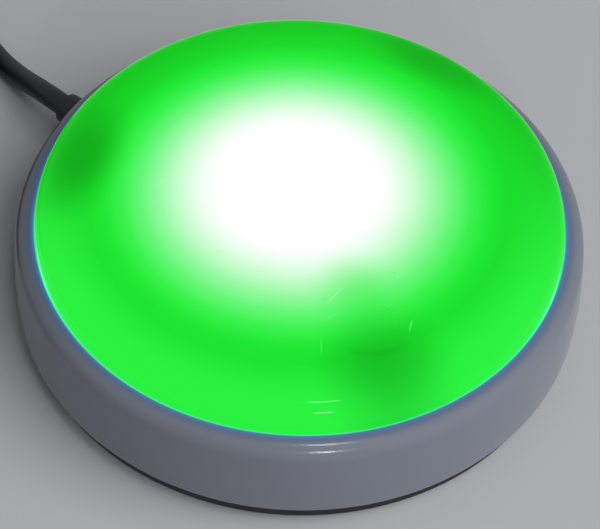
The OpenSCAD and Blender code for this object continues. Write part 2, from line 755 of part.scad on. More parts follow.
plug_shell();
plug_tongue();
plug_contacts();
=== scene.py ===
import math

import bpy
from mathutils import Matrix, Vector


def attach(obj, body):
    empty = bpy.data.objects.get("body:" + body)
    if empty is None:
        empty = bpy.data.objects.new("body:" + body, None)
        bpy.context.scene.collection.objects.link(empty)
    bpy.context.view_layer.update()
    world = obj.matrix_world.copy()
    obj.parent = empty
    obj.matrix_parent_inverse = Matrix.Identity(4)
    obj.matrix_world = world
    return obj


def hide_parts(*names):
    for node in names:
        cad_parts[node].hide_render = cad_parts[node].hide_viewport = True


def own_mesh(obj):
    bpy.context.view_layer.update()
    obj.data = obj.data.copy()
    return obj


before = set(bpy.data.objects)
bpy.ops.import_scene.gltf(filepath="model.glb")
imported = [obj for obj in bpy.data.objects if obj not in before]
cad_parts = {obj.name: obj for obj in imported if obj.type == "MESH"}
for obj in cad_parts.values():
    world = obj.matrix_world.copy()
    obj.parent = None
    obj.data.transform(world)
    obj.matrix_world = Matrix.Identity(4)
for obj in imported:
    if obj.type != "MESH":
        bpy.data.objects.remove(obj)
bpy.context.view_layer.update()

MM = 0.001

# Camera: at the photograph's angle, 34 cm in front of the button and 50.5 degrees above the table.
# It is rolled by 2.5 degrees and has a long lens, so the round button shows as a leaning ellipse.
CAMERA_PLACE = (0.00026, -0.22411, 0.27949)
CAMERA_TILT = 39.5
CAMERA_ROLL = 2.5
LENS = 126
SENSOR = 36

camera = bpy.data.objects.new("camera", bpy.data.cameras.new("camera"))
camera.data.lens = LENS
camera.data.sensor_width = SENSOR
camera.matrix_world = (Matrix.Translation(CAMERA_PLACE) @ Matrix.Rotation(math.radians(CAMERA_TILT), 4, "X")
                       @ Matrix.Rotation(math.radians(CAMERA_ROLL), 4, "Z"))
bpy.context.scene.collection.objects.link(camera)
bpy.context.scene.camera = camera
bpy.context.scene.view_settings.view_transform = "Standard"


# Cord: a round lead of black PVC, 4 mm across, which runs straight out of the grommet and down to the table.
# The length that the photograph doesn't show is wound into two layers of turns, held by a strap, and its
# tail ends in the plug. The points beside the button and at the plug are the ones of the part's source.
CORD_D = 4 * MM
CORD_RUN = [
    (-42.8, 34.7, 7), (-45, 36.5, 6.9), (-46.9, 38.5, 6.3), (-49, 41, 5.2),
    (-51.2, 43.7, 3.9), (-53.7, 46.7, 2.8), (-56.6, 50.2, 2.1), (-59.6, 54.2, 2.1),
    (-62.6, 58.5, 2.4),
]
CORD_END = [
    (-125.2, 34.1, 6.2), (-124.3, 26.2, 4.9), (-123.4, 18.9, 3.4),
    (-122.7, 13.8, 3.3), (-122.2, 9.3, 3.9), (-122, 5.1, 4),
]
COIL_CENTRE = (-93, 45)
COIL_OUTER = 33
COIL_INNER = 13.9
COIL_START = 33
COIL_TURNS = 9.422
COIL_LOW = 2.6
POINTS_PER_TURN = 20
RAMP_TURNS = 0.5


def linear(hex_colour):
    """A colour written as sRGB hex, as the linear red, green, blue and alpha that a shader takes."""
    parts = [int(hex_colour[i:i + 2], 16) / 255 for i in (1, 3, 5)]
    return [c / 12.92 if c <= 0.04045 else ((c + 0.055) / 1.055) ** 2.4 for c in parts] + [1]


def add_node(tree, kind, links=None, **settings):
    """Adds a node with its settings. links gives each input a socket to read or a value to hold."""
    made = tree.nodes.new("ShaderNode" + kind)
    for name, value in settings.items():
        setattr(made, name, value)
    for socket, source in (links or {}).items():
        if isinstance(source, bpy.types.NodeSocket):
            tree.links.new(source, made.inputs[socket])
        else:
            made.inputs[socket].default_value = source
    return made


def moulded(name, colour, roughness, grain_mm, depth_mm, ior=1.5, metallic=0.0, shade=0.08):
    """A moulded or drawn surface. Its colour varies a little over 15 mm, its gloss and bump over the grain."""
    made = bpy.data.materials.new(name)
    made.use_nodes = True
    tree = made.node_tree
    shader = tree.nodes["Principled BSDF"]
    place = add_node(tree, "TexCoord").outputs["Object"]
    cloud = add_node(tree, "TexNoise", {"Vector": place, "Scale": 1 / (15 * MM), "Detail": 3})
    dark = [c * (1 - shade) for c in linear(colour)[:3]] + [1]
    light = [min(1, c * (1 + shade)) for c in linear(colour)[:3]] + [1]
    tone = add_node(tree, "Mix", {"Factor": cloud.outputs["Fac"], 6: dark, 7: light}, data_type="RGBA")
    grain = add_node(tree, "TexNoise", {"Vector": place, "Scale": 1 / (grain_mm * MM), "Detail": 4})
    sheen = add_node(tree, "MapRange", {"Value": grain.outputs["Fac"], "From Min": 0.3, "From Max": 0.7,
                                        "To Min": roughness * 0.88, "To Max": min(1, roughness * 1.12)})
    bump = add_node(tree, "Bump", {"Height": grain.outputs["Fac"], "Distance": depth_mm * MM, "Strength": 1})
    tree.links.new(tone.outputs[2], shader.inputs["Base Color"])
    tree.links.new(sheen.outputs["Result"], shader.inputs["Roughness"])
    tree.links.new(bump.outputs["Normal"], shader.inputs["Normal"])
    shader.inputs["IOR"].default_value = ior
    shader.inputs["Metallic"].default_value = metallic
    return made


def coil_point(turns):
    """Where the cord's middle is after so many turns: inwards in the lower layer, outwards in the upper."""
    angle = math.radians(COIL_START) + math.tau * turns
    pitch = (COIL_OUTER - COIL_INNER) / (COIL_TURNS / 2)
    radius = COIL_INNER + pitch * abs(turns - COIL_TURNS / 2)
    climb = min(1, max(0, (turns - COIL_TURNS / 2) / RAMP_TURNS + 0.5))
    height = COIL_LOW + CORD_D / MM * climb * climb * (3 - 2 * climb)
    return (COIL_CENTRE[0] + radius * math.cos(angle), COIL_CENTRE[1] + radius * math.sin(angle), height)


coil_steps = round(COIL_TURNS * POINTS_PER_TURN)
coil_line = [coil_point(COIL_TURNS * i / coil_steps) for i in range(coil_steps + 1)]
cord_line = [Vector(p) * MM for p in CORD_RUN + coil_line + CORD_END]


def round_line(name, points, thickness):
    """A round bar along a smooth curve through the points."""
    curve = bpy.data.curves.new(name, "CURVE")
    curve.dimensions = "3D"
    curve.resolution_u = 5
    curve.bevel_depth = thickness / 2
    curve.bevel_resolution = 5
    curve.use_fill_caps = True
    spline = curve.splines.new("BEZIER")
    spline.bezier_points.add(len(points) - 1)
    for knot, point in zip(spline.bezier_points, points):
        knot.co = point
        knot.handle_left_type = "AUTO"
        knot.handle_right_type = "AUTO"
    made = bpy.data.objects.new(name, curve)
    bpy.context.scene.collection.objects.link(made)
    return made


# Black PVC jacket, extruded: smooth and half glossy, with the fine drag marks of the die
cord_black = moulded("extruded_black_pvc", "#0f1011", 0.46, 0.35, 0.012, ior=1.53)
cord = round_line("cord_lead", cord_line, CORD_D)
cord.data.materials.append(cord_black)
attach(cord, "base")
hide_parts("cord", "cord_coil", "cord_tail")


# Grommet and the cord's end inside: soft black PVC moulded round the cord, held in the wall by its neck,
# with a short tapered relief outside.

def dress(finish, *names):
    """Gives CAD pieces their finish."""
    for name in names:
        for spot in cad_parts[name].material_slots:
            spot.material = finish


grommet_black = moulded("moulded_soft_pvc", "#17191a", 0.5, 0.5, 0.02)
dress(grommet_black, "cord_grommet", "plug_relief")
dress(cord_black, "lead_jacket")

# Strap: a closed 9 mm band of black woven tape round the wound cord. It goes through the middle of the coil
# and round the outside, and is sewn shut.
TIE_TURN = 285
TIE_WIDTH = 9
TIE_STRIPS = 3
TIE_THICK = 0.5
TIE_ROUND = 1.6
TIE_STEPS = 6
TIE_LOW = 0.3
# How far the band's middle line stays from the turns: above, inside and outside
TIE_ABOVE = 0.35
TIE_INSIDE = 0.9
TIE_OUTSIDE = 0.5
THREAD = 0.6
THREAD_DEPTH = 0.08
# The length of one wave of the wave texture at scale 1
WAVE_LENGTH = 0.314

tie_high = COIL_LOW + 1.5 * CORD_D / MM + TIE_ABOVE
tie_in = COIL_INNER - CORD_D / MM / 2 - TIE_INSIDE
tie_out = COIL_OUTER + CORD_D / MM / 2 + TIE_OUTSIDE


def alone(obj=None):
    """Leaves obj as the one selected and active object, in object mode."""
    if bpy.context.object and bpy.context.object.mode != "OBJECT":
        bpy.ops.object.mode_set(mode="OBJECT")
    bpy.ops.object.select_all(action="DESELECT")
    if obj:
        obj.select_set(True)
        bpy.context.view_layer.objects.active = obj


def keep_place(obj):
    """Puts the object's place, turn and size into its mesh."""
    alone(obj)
    bpy.ops.object.transform_apply(location=True, rotation=True, scale=True)


def smoothed(obj, degrees=35):
    """Smooth shading, apart from edges that are sharper than this."""
    alone(obj)
    bpy.ops.object.shade_smooth_by_angle(angle=math.radians(degrees))


def tie_outline():
    """The strap's middle line round the coil's section: distance from the coil's centre, and height."""
    left, right = tie_in + TIE_ROUND, tie_out - TIE_ROUND
    low, high = TIE_LOW + TIE_ROUND, tie_high - TIE_ROUND
    line = []
    for x, z, start in ((right, high, 0), (left, high, 90), (left, low, 180), (right, low, 270)):
        for i in range(TIE_STEPS + 1):
            angle = math.radians(start + 90 / TIE_STEPS * i)
            line.append((x + TIE_ROUND * math.cos(angle), z + TIE_ROUND * math.sin(angle)))
    return line


def woven_tape():
    """Woven nylon tape: threads that pass over and under each other, from two crossed waves."""
    made = bpy.data.materials.new("woven_nylon_tape")
    made.use_nodes = True
    tree = made.node_tree
    shader = tree.nodes["Principled BSDF"]
    place = add_node(tree, "TexCoord").outputs["Object"]
    along = add_node(tree, "Mapping", {"Vector": place, "Rotation": (0, 0, math.radians(-TIE_TURN))})
    wave = {"Vector": along.outputs["Vector"], "Scale": WAVE_LENGTH / (THREAD * MM)}
    warp = add_node(tree, "TexWave", wave, bands_direction="X")
    weft = add_node(tree, "TexWave", wave, bands_direction="Y")
    weave = add_node(tree, "Math", {0: warp.outputs["Fac"], 1: weft.outputs["Fac"]}, operation="MULTIPLY")
    light = linear("#26282c")
    dark = [c * 0.6 for c in light]
    tone = add_node(tree, "Mix", {"Factor": weave.outputs["Value"], 6: dark, 7: light}, data_type="RGBA")
    bump = add_node(tree, "Bump", {"Height": weave.outputs["Value"], "Distance": THREAD_DEPTH * MM,
                                   "Strength": 1})
    tree.links.new(tone.outputs[2], shader.inputs["Base Color"])
    tree.links.new(bump.outputs["Normal"], shader.inputs["Normal"])
    shader.inputs["Roughness"].default_value = 0.8
    return made


alone()
tie_points = tie_outline()
bpy.ops.mesh.primitive_circle_add(vertices=len(tie_points), radius=MM)
coil_tie = bpy.context.object
coil_tie.name = "coil_strap"
for corner, (x, z) in zip(coil_tie.data.vertices, tie_points):
    corner.co = (x * MM, -TIE_WIDTH / 2 * MM, z * MM)
bpy.ops.object.mode_set(mode="EDIT")
bpy.ops.mesh.select_all(action="SELECT")
for strip in range(TIE_STRIPS):
    bpy.ops.mesh.extrude_region_move(TRANSFORM_OT_translate={"value": (0, TIE_WIDTH / TIE_STRIPS * MM, 0)})
bpy.ops.mesh.select_all(action="SELECT")
bpy.ops.mesh.normals_make_consistent(inside=False)
bpy.ops.object.mode_set(mode="OBJECT")
band = coil_tie.modifiers.new("band", "SOLIDIFY")
band.thickness = TIE_THICK * MM
band.offset = 0
alone(coil_tie)
bpy.ops.object.modifier_apply(modifier="band")
coil_tie.rotation_euler = (0, 0, math.radians(TIE_TURN))
coil_tie.location = (COIL_CENTRE[0] * MM, COIL_CENTRE[1] * MM, 0)
keep_place(coil_tie)
smoothed(coil_tie, 50)
coil_tie.data.materials.append(woven_tape())
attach(coil_tie, "base")
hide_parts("coil_tie")

# Plug: a flat USB plug. The black grip is moulded over the joint, with a tapered shoulder, five finger ribs
# on each narrow side and a stepped nose. The shell is folded from tinned steel sheet, and the tongue carries
# four gilt contacts.
GRIP_X = -122
GRIP_Y = -6
GRIP_Z = 4
GRIP_ROUND = 1.8
GRIP_EDGE = 0.35
# How far along the grip, how wide and how thick
GRIP_STEPS = [(0, 9.6, 6.4), (0.8, 10.4, 6.65), (5, 14.6, 8), (20.8, 14.6, 8), (20.8, 13.6, 6), (22, 13.6, 6)]
RIBS = 5
RIB_START = 7.05
RIB_PITCH = 1.8
RIB_SIZE = (15.6, 0.9, 5.6)
RIB_EDGE = 0.28


def bevelled(obj, width_mm, segments, degrees=30):
    """Rounds every edge sharper than this angle."""
    rounding = obj.modifiers.new("rounding", "BEVEL")
    rounding.width = width_mm * MM
    rounding.segments = segments
    rounding.limit_method = "ANGLE"
    rounding.angle_limit = math.radians(degrees)
    alone(obj)
    bpy.ops.object.modifier_apply(modifier=rounding.name)


def block(size, centre, turn=0, place=0):
    """A block, in millimetres, moved out along X and then turned about the vertical axis."""
    alone()
    bpy.ops.mesh.primitive_cube_add(size=1)
    made = bpy.context.object
    made.scale = [s * MM for s in size]
    keep_place(made)
    made.location = [c * MM for c in (centre[0] + place, centre[1], centre[2])]
    keep_place(made)
    made.rotation_euler = (0, 0, math.radians(turn))
    keep_place(made)
    return made


def joined(obj, operation, tools):
    """Welds the tools to the piece, or cuts them out of it."""
    for tool in tools:
        step = obj.modifiers.new("step", "BOOLEAN")
        step.operation = operation
        step.solver = "EXACT"
        step.object = tool
        alone(obj)
        bpy.ops.object.modifier_apply(modifier=step.name)
        bpy.data.objects.remove(tool)


alone()
bpy.ops.mesh.primitive_plane_add(size=MM, location=(GRIP_X * MM, GRIP_Y * MM, GRIP_Z * MM),
                                 rotation=(math.radians(90), 0, 0))
plug_grip = bpy.context.object
plug_grip.name = "plug_moulding"
plug_grip.scale = (GRIP_STEPS[0][1], GRIP_STEPS[0][2], 1)
keep_place(plug_grip)
bpy.ops.object.mode_set(mode="EDIT")
bpy.ops.mesh.select_all(action="SELECT")
bpy.ops.mesh.bevel(offset=GRIP_ROUND * MM, segments=6, affect="VERTICES")
for (start, wide, thick), (stop, new_wide, new_thick) in zip(GRIP_STEPS, GRIP_STEPS[1:]):
    bpy.ops.mesh.extrude_region_move(TRANSFORM_OT_translate={"value": (0, (start - stop) * MM, 0)})
    bpy.ops.transform.resize(value=(new_wide / wide, 1, new_thick / thick))
bpy.ops.mesh.select_all(action="SELECT")
bpy.ops.mesh.normals_make_consistent(inside=False)
bpy.ops.object.mode_set(mode="OBJECT")
bevelled(plug_grip, GRIP_EDGE, 3, 50)
for i in range(RIBS):
    rib = block(RIB_SIZE, (GRIP_X, GRIP_Y - RIB_START - RIB_PITCH * i, GRIP_Z))
    bevelled(rib, RIB_EDGE, 2)
    joined(plug_grip, "UNION", [rib])
smoothed(plug_grip)
plug_grip.data.materials.append(moulded("moulded_black_pvc", "#191b1c", 0.46, 0.4, 0.03))
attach(plug_grip, "base")
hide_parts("plug_grip")

dress(moulded("tinned_steel_sheet", "#c9ccd0", 0.26, 1.6, 0.002, metallic=1.0, shade=0.04), "plug_shell")
dress(moulded("moulded_white_nylon", "#f1f0ea", 0.45, 0.5, 0.01), "plug_tongue")
dress(moulded("gilt_contact_strip", "#d9b45c", 0.3, 0.3, 0.004, metallic=1.0), "plug_contacts")


# Housing: the white ring, injection moulded in ABS with a polished face. Its wall bows out slightly and turns
# over a soft edge into the lip that holds the cap. Inside it carries three screw bosses and three cap guides.
HOUSING_R = 47.1
HOUSING_H = 19.9
WALL_EDGE = 4.1
WALL_IN = 44.9
LIP_T = 2
LIP_ROUND = 2.9
EDGE_ROUND = 1.2
BELLY_Z = 8.5
BELLY_R = 76
LIP_FLAT = 0.4
LIP_EDGE = 0.3
EXIT_TURN = 141
EXIT_Z = 7
EXIT_D = 5.7
EXIT_DEPTH = 6
CAP_GAP = 0.25
SCREW_TURN = 113
SCREW_PLACE = 40.7
BOSS_D = 6.4
BOSS_LOW = 5.4
BOSS_TOP = 12.95
BORE_R = 1.35
BORE_DROP = 1
# The web between a boss and the wall, and the rib that guides the cap: size, distance out and height
WEB_SIZE, WEB_PLACE, WEB_Z = (4.6, 2.4, 6.6), 43, 9.6
GUIDE_SIZE, GUIDE_PLACE, GUIDE_Z = (1.5, 2, 6.2), 44.55, 15.5
# How far the painted glow and darker blue tint of the light that leaks past the cap reach over the lip
LEAK_W = 1.9
STEPS = 288


def arc(centre, radius, start, stop, steps):
    """Points on an arc, both ends included, its angles in degrees."""
    turns = [math.radians(start + (stop - start) * i / steps) for i in range(steps + 1)]
    return [(centre[0] + radius * math.cos(a), centre[1] + radius * math.sin(a)) for a in turns]


def turned(name, outline, steps=STEPS, axis=(0, 0)):
    """A turned piece: the outline, in millimetres from the axis and up, is drawn edge by edge and spun."""
    alone()
    bpy.ops.mesh.primitive_plane_add(size=MM)
    made = bpy.context.object
    made.name = name
    bpy.ops.object.mode_set(mode="EDIT")
    bpy.ops.mesh.select_mode(type="VERT")
    bpy.ops.mesh.merge(type="CENTER")
    bpy.ops.transform.translate(value=(outline[0][0] * MM, 0, outline[0][1] * MM))
    for (r0, z0), (r1, z1) in zip(outline, outline[1:] + outline[:1]):
        edge = ((r1 - r0) * MM, 0, (z1 - z0) * MM)
        if (r0, r1) != (0, 0):
            bpy.ops.mesh.extrude_region_move(TRANSFORM_OT_translate={"value": edge})
    bpy.ops.mesh.select_all(action="SELECT")
    bpy.ops.mesh.spin(steps=steps, angle=math.tau, center=(0, 0, 0), axis=(0, 0, 1))
    bpy.ops.mesh.select_all(action="SELECT")
    bpy.ops.mesh.remove_doubles(threshold=0.002 * MM)
    bpy.ops.mesh.normals_make_consistent(inside=False)
    bpy.ops.transform.translate(value=(axis[0] * MM, axis[1] * MM, 0))
    bpy.ops.object.mode_set(mode="OBJECT")
    return made


def thirds(turn):
    """Three directions 120 degrees apart."""
    return [turn + 120 * i for i in range(3)]


def spots(turn, place):
    """Three places 120 degrees apart, in millimetres."""
    return [(place * math.cos(math.radians(a)), place * math.sin(math.radians(a))) for a in thirds(turn)]


belly = (HOUSING_R - BELLY_R, BELLY_Z)
top_turn = math.degrees(math.asin((HOUSING_H - LIP_ROUND - BELLY_Z) / (BELLY_R - LIP_ROUND)))
low_turn = math.degrees(math.asin((WALL_EDGE + EDGE_ROUND - BELLY_Z) / (BELLY_R - EDGE_ROUND)))
lip_centre = arc(belly, BELLY_R - LIP_ROUND, top_turn, top_turn, 1)[0]
edge_centre = arc(belly, BELLY_R - EDGE_ROUND, low_turn, low_turn, 1)[0]
opening_r = lip_centre[0] - LIP_FLAT
cap_r = opening_r - CAP_GAP

housing_outline = ([(WALL_IN, WALL_EDGE)] + arc(edge_centre, EDGE_ROUND, -90, low_turn, 10)
                   + arc(belly, BELLY_R, low_turn, top_turn, 24)[1:]
                   + arc(lip_centre, LIP_ROUND, top_turn, 90, 20)[1:]
                   + arc((opening_r + LIP_EDGE, HOUSING_H - LIP_EDGE), LIP_EDGE, 90, 180, 6)
                   + [(opening_r, HOUSING_H - LIP_T), (WALL_IN, HOUSING_H - LIP_T)])
housing = turned("ring_housing", housing_outline)
boss_outline = [(0, BOSS_LOW), (BOSS_D / 2, BOSS_LOW), (BOSS_D / 2, BOSS_TOP), (0, BOSS_TOP)]
bore_low, bore_top = BOSS_LOW - BORE_DROP, BOSS_TOP - BORE_DROP
bore_outline = [(0, bore_low), (BORE_R, bore_low), (BORE_R, bore_top), (0, bore_top)]
screw_spots = spots(SCREW_TURN, SCREW_PLACE)
joined(housing, "UNION", [turned("boss", boss_outline, 40, spot) for spot in screw_spots])
for size, height, place in ((WEB_SIZE, WEB_Z, WEB_PLACE), (GUIDE_SIZE, GUIDE_Z, GUIDE_PLACE)):
    joined(housing, "UNION", [block(size, (0, 0, height), turn, place) for turn in thirds(SCREW_TURN)])
joined(housing, "DIFFERENCE", [turned("bore", bore_outline, 24, spot) for spot in screw_spots])
# The grommet's neck sits in a hole of the wall, open down to its edge
exit_turn = math.radians(EXIT_TURN)
alone()
bpy.ops.mesh.primitive_cylinder_add(vertices=48, radius=EXIT_D / 2 * MM, depth=EXIT_DEPTH * MM)
exit_hole = bpy.context.object
exit_hole.rotation_euler = (0, math.radians(90), exit_turn)
exit_hole.location = (WALL_IN * MM * math.cos(exit_turn), WALL_IN * MM * math.sin(exit_turn), EXIT_Z * MM)
keep_place(exit_hole)
exit_slot = block((EXIT_DEPTH, EXIT_D, EXIT_Z), (0, 0, EXIT_Z / 2), EXIT_TURN, WALL_IN)
joined(housing, "DIFFERENCE", [exit_hole, exit_slot])
smoothed(housing)


def glossy_abs():
    """Polished white ABS: clean and glossy, so that lamps show as thin strokes, with a faint orange-peel
    wave. Its colour is the grey that the plastic has in the photograph: painted shade greys the white.
    The lip next to the cap has a painted cold blue glow on a darker blue tint, for light leaking past the cap."""
    made = moulded("polished_white_abs", "#6c707b", 0.17, 2.4, 0.0015, ior=1.54, shade=0.03)
    tree = made.node_tree
    shader = tree.nodes["Principled BSDF"]
    place = add_node(tree, "TexCoord").outputs["Object"]
    flat = add_node(tree, "VectorMath", {0: place, 1: (1, 1, 0)}, operation="MULTIPLY")
    distance = add_node(tree, "VectorMath", {0: flat.outputs["Vector"]}, operation="LENGTH")
    # Painted light: a cold blue glow and a darker blue tint on the lip next to the cap
    painted_leak_glow = add_node(tree, "MapRange", {"Value": distance.outputs["Value"], "From Min": opening_r * MM,
                                       "From Max": (opening_r + LEAK_W) * MM})
    ramp = add_node(tree, "ValToRGB", {"Fac": painted_leak_glow.outputs["Result"]})
    ramp.color_ramp.elements[0].color = linear("#3f8f9a")
    ramp.color_ramp.elements[1].color = linear("#000000")
    for stop, colour in ((0.16, "#2c4f86"), (0.45, "#1d2748")):
        ramp.color_ramp.elements.new(stop).color = linear(colour)
    plain = shader.inputs["Base Color"].links[0].from_socket
    tinted = add_node(tree, "Mix", {"Factor": painted_leak_glow.outputs["Result"], 6: linear("#3a4668"), 7: plain},
                      data_type="RGBA")
    tree.links.new(tinted.outputs[2], shader.inputs["Base Color"])
    tree.links.new(ramp.outputs["Color"], shader.inputs["Emission Color"])
    shader.inputs["Emission Strength"].default_value = 1
    return made


housing.data.materials.append(glossy_abs())
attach(housing, "base")
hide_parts("upper_housing")

# Cap: one clear moulding with a frosted inside, lit green from below. Its slightly domed top turns over a
# soft edge, a flange under the lip holds it in, and three posts with collars press the switches and springs.
CROWN_R = 225
CROWN_Z = 28.6
CAP_EDGE = 4.2
CAP_WALL = 2.2
FLANGE_TOP = 17.8
FLANGE_T = 1.5
FLANGE_W = 1.15
POST_TURN = 53
POST_PLACE = cap_r - 10.15
POST_LOW = 18.05
POST_R = 3.6
POST_EDGE = 0.8
COLLAR_R = 6.5
COLLAR_IN = 5.5
COLLAR_DEPTH = 2
SEAT_Z = 22.8
# How far a post goes up from its spring's seat into the cap's wall
POST_RISE = 2.12
# The slots in the flange for the housing's guides, and how far outside the cap's side they start
SLOT_SIZE = (3, 2.6, 4)
SLOT_GAP = 0.35

crown = (0, CROWN_Z - CROWN_R)
edge_x = cap_r - CAP_EDGE
cap_edge = (edge_x, crown[1] + math.sqrt((CROWN_R - CAP_EDGE) ** 2 - edge_x ** 2))
crown_turn = math.degrees(math.atan2(cap_edge[1] - crown[1], edge_x))


def dome(inset, steps):
    """The cap's top and side from the middle down, set in by inset from the outer surface."""
    top = arc(crown, CROWN_R - inset, 90, crown_turn, steps)
    return [(0, top[0][1])] + top[1:] + arc(cap_edge, CAP_EDGE - inset, crown_turn, 0, 16)[1:]


flange_r, flange_low = cap_r + FLANGE_W, FLANGE_TOP - FLANGE_T
cap_outline = (dome(0, 28) + [(cap_r, FLANGE_TOP), (flange_r, FLANGE_TOP), (flange_r, flange_low),
                              (cap_r - CAP_WALL, flange_low)] + dome(CAP_WALL, 20)[::-1])
cap = turned("lit_cap", cap_outline)
collar_low, post_top = SEAT_Z - COLLAR_DEPTH, SEAT_Z + POST_RISE
post_outline = [(0, POST_LOW), (POST_R - POST_EDGE, POST_LOW), (POST_R, POST_LOW + POST_EDGE),
                (POST_R, SEAT_Z), (COLLAR_IN, SEAT_Z), (COLLAR_IN, collar_low),
                (COLLAR_R, collar_low), (COLLAR_R, post_top), (0, post_top)]
joined(cap, "UNION", [turned("post", post_outline, 48, spot) for spot in spots(POST_TURN, POST_PLACE)])
slot_centre, slot_place = (SLOT_SIZE[0] / 2, 0, FLANGE_TOP - FLANGE_T / 2), cap_r + SLOT_GAP
joined(cap, "DIFFERENCE", [block(SLOT_SIZE, slot_centre, turn, slot_place) for turn in thirds(SCREW_TURN)])
smoothed(cap)

GLOW_CENTRE = (-0.7, -0.5)
# The painted glow from the middle outwards, in millimetres: the light source burns out to white through the
# cap
GLOW = [(0, "#ffffff"), (13.5, "#ffffff"), (16, "#ebfdee"), (19, "#c6fbcc"), (22, "#96f8a2"),
        (25, "#64f576"), (28, "#37f04b"), (31, "#1ae62f"), (34, "#0fda22"), (43.2, "#0fda22")]
# Painted light caught in the rim: strong in front, weak at the back. It comes up between two distances from
# the middle, and weakens between two places along Y.
RIM_FRONT = "#26ef3c"
RIM_BACK = "#05c112"
RIM_FADE = (31, 41.5)
BACK_FADE = (-22, 24)
SHADE = "#04a60e"
# The posts and their springs cast shadows on the cap from the light below, painted as soft dark spots, long in
# the direction of the rim. Each has its place, its direction, its half width and length, its depth and its
# tone. The first is the front post's painted shadow, which reaches in towards the light.
SHADOWS = [((10.0, -22.5), -67, 11.0, 8.5, 0.55, "#2eee44"),
           ((13.9, -34.0), -67, 12.5, 12.5, 0.64, SHADE),
           ((21.5, 32.0), 56, 8.0, 18.0, 0.8, SHADE),
           ((-36.2, 6.5), 170, 9.0, 17.0, 0.95, SHADE)]
# Small lighter and darker strokes laid into the glow on the top: place, direction, length, width and tone, and
# how strong they all are
GLOW_STROKES = [((4.0, -31.3), 94, 2.1, 0.22, "#7dff8c"), ((17.6, -26.5), 78, 1.9, 0.25, "#8dffa0"),
             ((6.0, -22.0), 52, 3.2, 0.28, "#c4ffcb"), ((5.2, -26.2), 40, 1.6, 0.25, "#7dff8c"),
             ((-22.7, -0.5), 62, 1.5, 0.4, "#c0ffc8"), ((14.9, -17.2), 165, 0.9, 0.3, "#3fd353"),
             ((4.2, -22.9), 5, 0.8, 0.28, "#49dc5c"), ((13.9, -24.0), 160, 1.0, 0.25, "#18d42a"),
             ((-12.4, -14.6), 30, 0.7, 0.25, "#9cf0a6")]
GLOW_STROKE_SHARE = 0.26
# The front collar's lower edge shows as a faint arc of painted shade: its centre, radius and strength, and the
# middle and radius of the spot in which it shows
COLLAR_CENTRE = (11.1, -22.3)
COLLAR_ARC = 9.7
COLLAR_SHARE = 0.26
COLLAR_SPOT = (12.6, -31.8)
COLLAR_SPOT_R = 5.6
# A thin pale painted highlight where the cap's side goes down into the lip: between which heights, and its
# tone
EDGE_LOW = 19.4
EDGE_HIGH = 19.85
EDGE_HIGHLIGHT_TONE = "#62d8a6"


